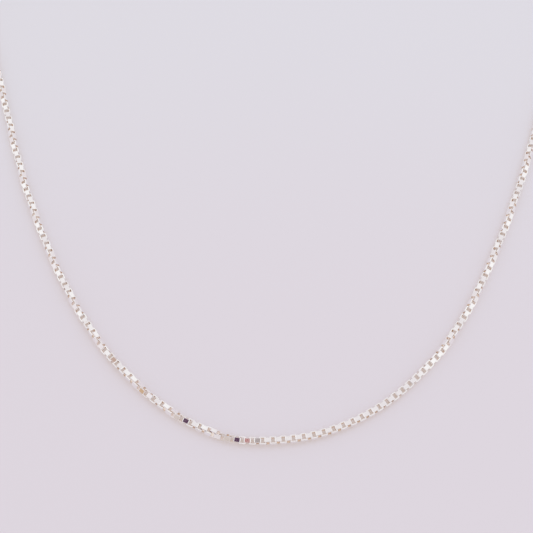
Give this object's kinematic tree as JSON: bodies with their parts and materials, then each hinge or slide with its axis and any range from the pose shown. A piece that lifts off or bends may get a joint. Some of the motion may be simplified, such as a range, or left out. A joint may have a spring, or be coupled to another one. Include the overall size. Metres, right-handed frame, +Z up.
{
  "type": "box chain necklace",
  "caption": "Closed loop of fine twisted silver box chain lying flat, joined at the back by a small bolt ring clasp.",
  "frame": {"origin": "on the table, under the middle of the box around the whole necklace", "axes": "+Z up from the table, +Y from the front of the loop to the clasp at its back, +X to the right seen from the front"},
  "size_m": [0.1427, 0.1884, 0.0017],
  "materials": {
    "chain_silver": "polished",
    "clasp_silver": "polished"
  },
  "bodies": {
    "root": {"chain": "chain_silver", "clasp": "clasp_silver"}
  },
  "joints": []
}
